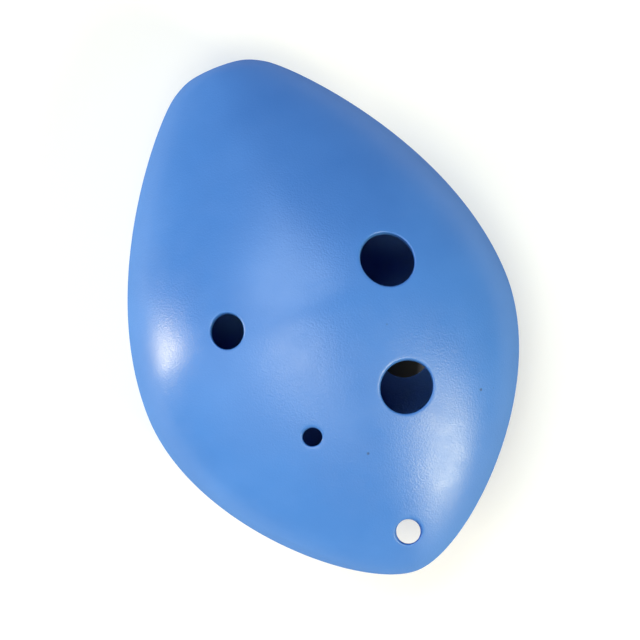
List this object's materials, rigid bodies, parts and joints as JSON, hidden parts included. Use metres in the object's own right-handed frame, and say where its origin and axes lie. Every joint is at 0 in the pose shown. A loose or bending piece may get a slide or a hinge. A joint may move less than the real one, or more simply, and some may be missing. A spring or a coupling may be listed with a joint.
{
  "type": "ocarina",
  "caption": "Pendant-style moulded ocarina with finger holes on the domed front, thumb holes and sound window on the back, and a lanyard hole in the tail.",
  "frame": {"origin": "under the middle of the length and width, on the plane of the belly flat that the ocarina rests on", "axes": "+X to the right seen from the front, +Y towards the mouthpiece, +Z out of the domed front that carries the finger holes"},
  "size_m": [0.0736, 0.104, 0.0398],
  "materials": {
    "shell_plastic": "satin moulded plastic, sky blue, with a fine mould grain",
    "insert_plastic": "smooth moulded plastic, the same blue"
  },
  "bodies": {
    "root": {"front_shell": "shell_plastic", "back_shell": "shell_plastic", "windway_block": "insert_plastic", "sound_edge_insert": "insert_plastic"}
  },
  "joints": []
}
